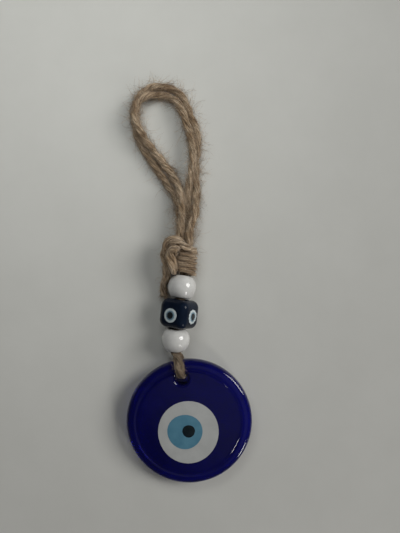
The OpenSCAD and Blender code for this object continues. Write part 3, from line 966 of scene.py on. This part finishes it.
def domed_plug(name, radius, low, high, rise, material, sides, rings):
    """A round plug of glass between two heights, with a low dome on its top."""
    bpy.ops.object.select_all(action="DESELECT")
    bpy.ops.mesh.primitive_cylinder_add(
        vertices=sides, radius=radius, depth=high - low, location=(0, 0, (high + low) / 2)
    )
    bpy.ops.object.transform_apply(location=True, rotation=False, scale=False)
    plug = named(name, material)
    dome(plug, radius, rise, rings)
    return plug


def melt_in(dot, turn, shift, ragged, phase):
    """Gives a dot its own uneven edge, in three wide and eleven small waves, and puts it into the bead."""
    for vertex in dot.data.vertices:
        angle = math.atan2(vertex.co.y, vertex.co.x)
        wide, small = math.sin(3 * angle + phase), math.sin(11 * angle + 2 * phase)
        reach = 1 + 0.6 * ragged * wide + ragged * small
        vertex.co.x *= reach
        vertex.co.y *= reach
    side = Matrix.Rotation(math.radians(turn - EYE_BEAD_TURN), 4, "Z") @ Matrix.Translation((0, 0, shift))
    put(dot, eye_bead_frame @ side @ Matrix.Rotation(math.pi / 2, 4, "X"))


dot_low = EYE_BEAD_W / 2 - BEAD_EYE_DEPTH
dot_high = EYE_BEAD_W / 2 + BEAD_EYE_PROUD

# piece, share of the eye's radius, edge over dot_high, material, slot, CAD node
DOT_KINDS = [
    ("bead_dot_white_", 1, 0.00002, dot_white, "bead_eye_white", "bead_eye_white_"),
    ("bead_dot_blue_", BEAD_IRIS_SHARE, 0.00008, dot_blue, "bead_eye_blue", "bead_eye_iris_"),
    ("bead_dot_black_", BEAD_PUPIL_SHARE, 0.00014, dot_black, "black_glass", "bead_eye_pupil_"),
]
for name, share, over, material, slot, node in DOT_KINDS:
    radius, high = share * BEAD_EYE_R, dot_high + over
    first_dot = domed_plug(name + "1", radius, dot_low, high, DOT_DOME, material, sides=72, rings=5)
    smooth_by_angle(first_dot, 50)
    dots = [first_dot] + [copy_of(first_dot, name + number) for number in "234"]
    for index, (dot, place) in enumerate(zip(dots, BEAD_EYE_PLACES)):
        melt_in(dot, *place, index)
        finish_piece(dot, slot, node + str(index + 1))


# Glass disc: poured dark cobalt glass, flat at the back, with a rounded edge and a shallow uneven crease
# inside it. The hanging hole has soft melted mouths. The disc leans on the twine that comes back under it.
DISC_SIDES = 192
RIM_W = 0.0032
RIM_BEVEL = 0.999 * rim_r
RIM_SEGMENTS = 16
# The face's side of the rim (1) is a little squarer than the full round at the back (-1)
RIM_PROFILES = {1: 0.64, -1: 0.5}
FLAT_INSET = 0.0004
CREASE_DEPTH = 0.0001
CREASE_TOOL_R = 0.0012
CREASE_STEPS = 8
# The crease is deeper and shallower in turns: height (share of its depth), waves round the disc, phase
CREASE_WAVES = [(0.36, 1, 1.05), (0.14, 8, 2.1), (0.1, 21, 1.0)]


def cobalt_glass():
    """Dark blue glass that lets a little light through, with faint waves on its face from the pouring."""
    material, shader = clouded_material(
        "cobalt_glass", (0.005, 0.0055, 0.2), (0.008, 0.009, 0.3),
        clouds=60, waves=110, depth=0.00015, strength=0.35,
    )
    shader.inputs["Roughness"].default_value = 0.05
    shader.inputs["IOR"].default_value = 1.52
    shader.inputs["Transmission Weight"].default_value = 0.8
    return material


bpy.ops.object.select_all(action="DESELECT")
bpy.ops.mesh.primitive_cylinder_add(vertices=DISC_SIDES, radius=DISC_R, depth=DISC_T)
disc = named("cobalt_disc", cobalt_glass())
for side, profile in RIM_PROFILES.items():
    choose_vertices(disc, lambda place: side * place.z > 0)
    bpy.ops.mesh.bevel(offset=RIM_BEVEL, segments=RIM_SEGMENTS, affect="EDGES", profile=profile)
    back_to_object()

# The crease is pressed into the face in rings, from the outside inwards
crease_r = DISC_R - RIM_W
crease_half = math.sqrt(CREASE_TOOL_R ** 2 - (CREASE_TOOL_R - CREASE_DEPTH) ** 2)
crease_inside = crease_r - crease_half
crease_rings = [(crease_r + crease_half, 0.0)]
for step in range(1, CREASE_STEPS):
    offset = crease_half * (1 - 2 * step / CREASE_STEPS)
    height = CREASE_TOOL_R - CREASE_DEPTH - math.sqrt(CREASE_TOOL_R ** 2 - offset ** 2)
    crease_rings.append((crease_r + offset, height))
crease_rings += [(crease_inside, 0.0), (crease_inside - FLAT_INSET, 0.0)]


def choose_flat(side):
    """Chooses the middle of the disc's face (1) or of its back (-1)."""
    choose_faces(
        disc, lambda place, normal: side * normal.z > STRAIGHT and math.hypot(place.x, place.y) < NEAR
    )


choose_flat(1)
press_rings(flat_r, crease_rings)
back_to_object()
for vertex in disc.data.vertices:
    if vertex.co.z > 0 and abs(math.hypot(vertex.co.x, vertex.co.y) - crease_r) < crease_half:
        angle = math.atan2(vertex.co.y, vertex.co.x)
        wave = sum(height * math.sin(count * angle + phase) for height, count, phase in CREASE_WAVES)
        vertex.co.z -= wave * (rim_r - vertex.co.z)
choose_flat(-1)
bpy.ops.mesh.inset(thickness=FLAT_INSET)
back_to_object()
hole_centre = Vector((0, hole_at, 0))
bpy.ops.mesh.primitive_cylinder_add(vertices=96, radius=HOLE_R, depth=2 * DISC_T, location=hole_centre)
cut_away(disc, bpy.context.object)
choose_vertices(disc, lambda place: on_circle(place - hole_centre, HOLE_R, rim_r))
bpy.ops.mesh.bevel(offset=HOLE_MOUTH, segments=8, affect="EDGES", profile=0.5)
back_to_object()
smooth_by_angle(disc, 35)
disc_frame = (
    Matrix.Translation(Vector(disc_at))
    @ Matrix.Rotation(HOLE_TURN, 4, "Z")
    @ Matrix.Rotation(disc_tilt, 4, "X")
)
put(disc, disc_frame @ Matrix.Translation((0, 0, rim_r)))
finish_piece(disc, "cobalt_glass", "glass_disc")


# Eye: a drop of white glass, one of light blue and one of black, melted one into the other on the disc's
# face. Each has run a little out of round, and stands just proud of the glass under it.
WHITE_D = 0.0196
IRIS_D = 0.0111
PUPIL_D = 0.004
EYE_DROP = 0.003
DROP_DEPTH = 0.0009
DROP_PROUD = 0.0001

# across and along (shares of the white drop's size), oval, three-sided unevenness
WHITE_FORM = (-0.015, 0, 0.025, 0.004)
IRIS_FORM = (-0.07, 0.008, 0, 0.012)
PUPIL_FORM = (-0.01, 0.018, 0, 0.02)

eye_frame = disc_frame @ Matrix.Rotation(-HOLE_TURN, 4, "Z")
eye_white_glass = opaque_glass("eye_white_glass", (0.42, 0.43, 0.425), (0.475, 0.485, 0.48), 160)
eye_blue_glass = opaque_glass("eye_blue_glass", (0.075, 0.205, 0.295), (0.098, 0.245, 0.34), 260)
eye_black_glass = opaque_glass("eye_black_glass", (0.003, 0.009, 0.012), (0.008, 0.015, 0.02), 400)
white_high = DISC_T + DROP_PROUD
iris_high = white_high + DROP_PROUD / 2

# piece, size, form, what it lies in, depth (share of DROP_DEPTH), edge and dome (shares of DROP_PROUD)
DROP_SHAPES = [
    ("white_drop", WHITE_D, WHITE_FORM, DISC_T, 1, 0.2, 0.8),
    ("blue_drop", IRIS_D, IRIS_FORM, white_high, 0.6, 0.1, 0.4),
    ("black_drop", PUPIL_D, PUPIL_FORM, iris_high, 0.3, 0.1, 0.4),
]
DROP_LOOKS = [
    (eye_white_glass, "white_glass", "eye_white"),
    (eye_blue_glass, "light_blue_glass", "eye_iris"),
    (eye_black_glass, "black_glass", "eye_pupil"),
]
for (name, size, form, ground, depth, edge, rise), (glass, slot, node) in zip(DROP_SHAPES, DROP_LOOKS):
    low, high = ground - depth * DROP_DEPTH, ground + edge * DROP_PROUD
    drop = domed_plug(name, size / 2, low, high, rise * DROP_PROUD, glass, sides=144, rings=7)
    across, along, oval, three_sided = form
    for vertex in drop.data.vertices:
        angle = math.atan2(vertex.co.y, vertex.co.x)
        reach = 1 - oval * math.cos(2 * angle) + three_sided * math.sin(3 * angle)
        vertex.co.x = vertex.co.x * reach + across * WHITE_D
        vertex.co.y = vertex.co.y * reach + along * WHITE_D - EYE_DROP
    smooth_by_angle(drop, 50)
    put(drop, eye_frame)
    finish_piece(drop, slot, node)


# Table: a plain matt surface of very pale grey under the pendant.
# It belongs to the setting and not to the part.
TABLE_SIZE = 5
bpy.ops.object.select_all(action="DESELECT")
bpy.ops.mesh.primitive_plane_add(size=TABLE_SIZE)
paint, paint_shader = clouded_material(
    "table_paint", (0.609, 0.609, 0.579), (0.631, 0.631, 0.601),
    clouds=45, waves=900, depth=0.00002, strength=0.3,
)
paint_shader.inputs["Roughness"].default_value = 0.7
table = named("table", paint)


# Light: a soft window far off to the right, a small lamp at the lower right that gives the bright points on
# the beads, a dim panel beyond the loop's upper left, and a grey room that is darkest overhead but for a
# pale patch of ceiling.
def area_light(name, place, target, size, power, colour):
    bpy.ops.object.light_add(type="AREA", location=place)
    lamp = bpy.context.object
    lamp.name = name
    lamp.data.shape = "RECTANGLE"
    lamp.data.size, lamp.data.size_y = size
    lamp.data.energy = power
    lamp.data.color = colour
    lamp.rotation_euler = (Vector(target) - Vector(place)).to_track_quat("-Z", "Y").to_euler()
    lamp.visible_camera = False
    return lamp


area_light("window", (2.6, 0.86, 2.0), (0, 0.02, 0), (1.5, 1.7), power=62, colour=(1, 0.99, 0.96))
area_light("lamp", (0.25, -0.32, 0.24), (0, 0.01, 0), (0.085, 0.085), power=0.29, colour=(1, 0.98, 0.95))
PANEL_OVER = (-0.035, 0.125)
panel = area_light(
    "panel", (*PANEL_OVER, 0.14), (*PANEL_OVER, 0), (0.1, 0.1), power=0.1, colour=(0.98, 1, 0.98)
)
panel.visible_glossy = False

# The pale patch of ceiling, nearly overhead, is what the flat face of the disc reflects
CEILING_PATCH = (0.18, -0.27, 0.95)
world = bpy.data.worlds.new("room")
world.use_nodes = True
room_nodes, room_links = world.node_tree.nodes, world.node_tree.links
heading = room_nodes.new("ShaderNodeTexCoord").outputs["Generated"]
height = room_nodes.new("ShaderNodeSeparateXYZ")
room_links.new(heading, height.inputs["Vector"])
room_tone = ramp(room_nodes, room_links, height.outputs["Z"], [
    (0.0, rgb(0.12, 0.12, 0.124)),
    (0.3, rgb(0.07, 0.07, 0.073)),
    (1.0, rgb(0.025, 0.025, 0.027)),
])
from_patch = room_nodes.new("ShaderNodeVectorMath")
from_patch.operation = "DISTANCE"
from_patch.inputs[1].default_value = CEILING_PATCH
room_links.new(heading, from_patch.inputs[0])
patch_share = ramp(room_nodes, room_links, from_patch.outputs["Value"], [
    (0.2, rgb(1, 1, 1)),
    (0.32, rgb(0, 0, 0)),
])
room_colour = mix_colours(room_nodes, room_links, patch_share, room_tone, rgb(0.13, 0.13, 0.127))
room_links.new(room_colour, room_nodes["Background"].inputs["Color"])
bpy.context.scene.world = world
